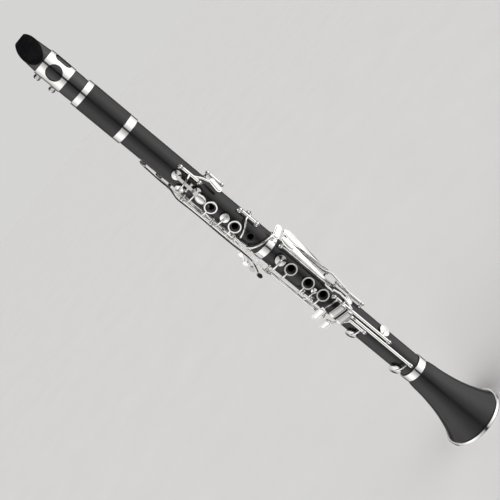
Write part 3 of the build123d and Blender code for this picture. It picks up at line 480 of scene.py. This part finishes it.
def dome(key, turn, reach, height, facing, length, width, thick, lean, leaf=False,
         hinge=None, opened=0):
    """A pillow on a finger plate; the plate is a slot or a leaf seen along its facing."""
    tilt = math.radians(lean)
    across, outward = facing_axes(facing)
    half_length, half_width = length / 2 - DOME_INSET, width / 2 - DOME_INSET
    rings = []
    for layer in range(DOME_LAYERS + 1):
        q = math.pi / 2 * min(layer / DOME_LAYERS, LAST_LAYER)
        drawn_in = math.cos(q)
        rise = thick - DOME_SINK + DOME_RISE * math.sin(q)
        ring = []
        for i in range(DOME_STEPS):
            a = 2 * math.pi * i / DOME_STEPS
            y = half_width * drawn_in * math.sin(a)
            if leaf:
                x = half_length * drawn_in * math.cos(a)
            else:
                straight = math.copysign((length - width) / 2, math.cos(a))
                x = half_width * drawn_in * math.cos(a) + straight
            u = x * math.cos(tilt) - y * math.sin(tilt)
            v = x * math.sin(tilt) + y * math.cos(tilt)
            point = spot(turn, reach, height) + across * u + Vector((0, 0, v)) + outward * rise
            ring.append(swing(point, hinge, opened) if hinge else point)
        rings.append(ring)
    return stacked("dome_" + key, rings, key)


# key, turn, reach, height, facing, length, width, plate thickness, lean, leaf, hinge, raised by
plates = [("register_key", 178, 20.6, 425.2, 178, 15, 7, 1.8, 90, True),
          ("a_key", -6, 21.5, 424.9, -6, 13, 9.4, 1.8, 90, True),
          ("g_sharp_key", 53, 20.7, 420.7, 45, 17, 7, 1.6, 78),
          ("c_sharp_key", 66, 22.0, 335.7, 38, 17, 8, 1.8, 12),
          ("f_sharp_key", -6, 21.1, 228.0, -8, 21, 8.6, 1.7, -10, False, (82, 19.5), 5),
          ("a_flat_key", -47, 23.7, 239.3, -28, 21, 8, 1.7, 8),
          ("f_key", -62, 25.0, 223.5, -36, 17, 8, 1.7, 8, False, (-4, 18.3), 5),
          ("e_key", -6, 21.3, 216.5, -8, 21, 8.6, 1.7, -8, False, (10, 18.3), 5),
          ("left_e_lever", 55, 22.7, 319.5, 32, 19, 8.6, 1.8, 84, True),
          ("left_f_lever", 85, 23.9, 316.0, 48, 26, 10, 1.9, 82, True)]
domes = [dome(*row) for row in plates]
print("domes", len(domes))

# %% [markdown]
# The two long levers of the left little finger are forged flat and taper from their finger plate
# down to the rod. A tapering bar is a row of squashed rings, each placed and turned one by one.

# %% Tapered lever arms
BAR_STEPS = 20
SQUARENESS = 0.7        # below 1 the section fills out towards a box


def bulged(value):
    """Pushes a cosine or sine towards 1, which squares a round section."""
    return math.copysign(abs(value) ** SQUARENESS, value)


def tapered_bar(name, key, stations):
    """A bar through stations of turn, reach, height, facing, width and thickness."""
    rings = []
    for turn, reach, height, facing, width, thick in stations:
        across, outward = facing_axes(facing)
        ring = []
        for i in range(BAR_STEPS):
            a = 2 * math.pi * i / BAR_STEPS
            x = width / 2 * bulged(math.cos(a))
            y = thick / 2 * bulged(math.sin(a))
            ring.append(spot(turn, reach, height) + across * x + outward * y)
        rings.append(ring)
    return stacked(name, rings, key)


arms = [tapered_bar("taper_left_e", "left_e_lever",
                    [(54, 23.4, 316, 32, 7.6, 1.6), (53, 22.9, 302, 36, 6.6, 1.6),
                     (51, 22.0, 286, 42, 5.2, 1.6), (49, 21.2, 270, 47, 4.0, 1.7),
                     (48, 20.9, 252, 48, 3.0, 1.7)]),
        tapered_bar("taper_left_f", "left_f_lever",
                    [(86, 25.0, 312, 50, 9.0, 1.7), (90, 24.6, 298, 58, 7.8, 1.7),
                     (95, 23.8, 284, 72, 6.4, 1.7), (100, 23.0, 270, 92, 5.0, 1.7),
                     (102, 22.6, 258, 102, 4.0, 1.7)])]
print("tapered arms", len(arms))

# %% [markdown]
# Every rod is a long screw, and its slotted head shows at the outer face of a post. A head is two
# half-round lands with a gap between them, so the slot is real and not only drawn.

# %% Slotted heads of the hinge rods
HEAD_RADIUS = 1.25
HEAD_RISE = 0.55
HEAD_TAPER = 0.92       # top of a land against its foot
LAND_START = 0.2        # radians from the slot's middle line
LAND_STEPS = 12
PAST_END = 2.0          # from a rod's end to the outer face of its post


def slotted_heads(name, places, body):
    """All the heads as one piece; each place is a point and the way its head looks."""
    bm = bmesh.new()
    sweep = np.linspace(LAND_START, math.pi - LAND_START, LAND_STEPS)
    outline = [(HEAD_RADIUS * math.sin(a), HEAD_RADIUS * math.cos(a)) for a in sweep]
    for centre, way in places:
        for side in (-1, 1):
            rings = []
            for taper, rise in ((1, 0), (HEAD_TAPER, way * HEAD_RISE)):
                points = [centre + Vector((side * x * taper, y * taper, rise)) for x, y in outline]
                rings.append([bm.verts.new(point * MM) for point in points])
            skin_over(bm, rings)
    return hang(name, bm, body, steel, smooth=False)


# turn, reach, lower end, upper end
rods = [(-62, 20.0, 366.7, 436.7), (99, 20.0, 412.7, 432.7), (32, 18.2, 435.7, 461.7),
        (-48, 17.6, 345.7, 369.7), (52, 18.1, 358.7, 382.7), (-40, 18.7, 255, 269),
        (10, 18.3, 115, 211.5), (-4, 18.3, 185, 211.5), (26, 18.3, 154, 239),
        (82, 19.5, 204, 243), (48, 18.5, 252, 322), (102, 20.0, 258, 304)]
places = []
for turn, reach, low_end, high_end in rods:
    places += [(spot(turn, reach, low_end - PAST_END), -1), (spot(turn, reach, high_end + PAST_END), 1)]
heads = slotted_heads("rod_screw_heads", places, "instrument")
print("slotted heads", len(places))

# %% [markdown]
# The floor is a wide pale sheet. It is left out of mirror-like reflections, as if the instrument
# were held clear of the table, so the metal mirrors the soft panels instead.

# %% Floor
def pale_floor(g):
    mottle = g.speckle(9.0, 5.0)
    return {
        "Base Color": g.mix(mottle, (0.70, 0.69, 0.68, 1), (0.75, 0.745, 0.74, 1)),
        "Roughness": 0.8 + 0.1 * mottle,
    }


FLOOR_RADIUS = 7.0
FLOOR_DROP = 0.0002     # under the rim, so that the two never share a face

floor_mesh = bpy.data.meshes.new("studio_floor")
bm = bmesh.new()
bmesh.ops.create_circle(bm, cap_ends=True, radius=FLOOR_RADIUS, segments=96)
bm.to_mesh(floor_mesh)
bm.free()
floor_mesh.materials.append(finish("pale_floor", pale_floor))
floor = bpy.data.objects.new("studio_floor", floor_mesh)
floor.location.z = packed_box[0][2] - FLOOR_DROP
floor.visible_glossy = False
bpy.context.scene.collection.objects.link(floor)

# %% [markdown]
# A polished tube only shows what stands round it. Two tall soft panels stand left and right of
# the viewer with a narrow dark gap between them, which draws one thin dark line down every ring
# and joint. They are part of the sky, as bands of direction round the instrument, so that there
# is no lamp to hide. What the viewer sees behind the piece stays a plain pale grey.

# %% Studio light
FACING = math.radians(10.0)
sky = bpy.data.worlds.new("studio")
sky.use_nodes = True
bpy.context.scene.world = sky
g = Graph(sky.node_tree)
way = g.node("ShaderNodeTexCoord", out="Generated")
turned_way = g.node("ShaderNodeVectorRotate", {"rotation_type": "Z_AXIS"},
                    {"Vector": way, "Angle": -FACING})
split = g.node("ShaderNodeSeparateXYZ", {}, {"Vector": turned_way})
side = Wire(g, split.socket.node.outputs["X"])
front = 0 - Wire(g, split.socket.node.outputs["Y"])
up = Wire(g, split.socket.node.outputs["Z"])
angle = g.node("ShaderNodeMath", {"operation": "ABSOLUTE"},
               {0: g.node("ShaderNodeMath", {"operation": "ARCTAN2"}, {0: side, 1: front})})
gap = g.span(angle, 0.09, 0.17)
flank = g.span(angle, 0.50, 1.05) * g.span(angle, 1.95, 1.35)
panel = 0.50 + 0.35 * g.span(angle, 0.15, 0.50) + 0.75 * flank
behind = 0.07 + 0.93 * g.span(angle, 2.35, 2.15) + 0.75 * g.span(angle, 2.60, 2.75)
hands = 0.72 + 0.28 * g.span(side, -0.20, 0.20)
height = g.span(up, 0.80, 0.60) * (0.10 + 0.90 * g.span(up, -0.88, -0.70))
light = 0.02 + gap * panel * behind * hands * height
seen = g.node("ShaderNodeLightPath", out="Is Camera Ray")
lit = g.node("ShaderNodeBackground", {}, {"Color": (1.0, 0.995, 0.985, 1), "Strength": light})
plain = g.node("ShaderNodeBackground", {}, {"Color": (0.82, 0.815, 0.81, 1), "Strength": 0.81})
both = g.node("ShaderNodeMixShader", {}, {0: seen, 1: lit, 2: plain})
g.node("ShaderNodeOutputWorld", {}, {"Surface": both})
print("sky nodes", len(sky.node_tree.nodes))

# %% [markdown]
# A broad lamp high on the left keeps the floor pale and gives the piece a soft shadow to stand on.
# It stays out of mirror reflections too, so the polished metal keeps its clean bands.

# %% Soft overhead lamp
lamp_data = bpy.data.lights.new("overhead", "SUN")
lamp_data.energy = 2.1
lamp_data.angle = math.radians(50)
lamp = bpy.data.objects.new("overhead", lamp_data)
lamp.rotation_euler = (math.radians(22), math.radians(-28), 0)
lamp.visible_glossy = False
bpy.context.scene.collection.objects.link(lamp)

# %% [markdown]
# The camera stands about a metre in front, at the height of the mouthpiece, and is rolled so that
# the instrument runs across the corner of the frame. Its place is a position and a turn.

# %% Camera
lens = bpy.data.cameras.new("camera")
lens.lens = 70.23
lens.sensor_width = 36.0
camera = bpy.data.objects.new("camera", lens)
camera.rotation_mode = "QUATERNION"
camera.rotation_quaternion = (0.75116, 0.51748, 0.30711, -0.27139)
camera.location = (0.17639, -1.00037, 0.6338)
bpy.context.scene.collection.objects.link(camera)
bpy.context.scene.camera = camera
bpy.context.scene.view_settings.view_transform = "Standard"
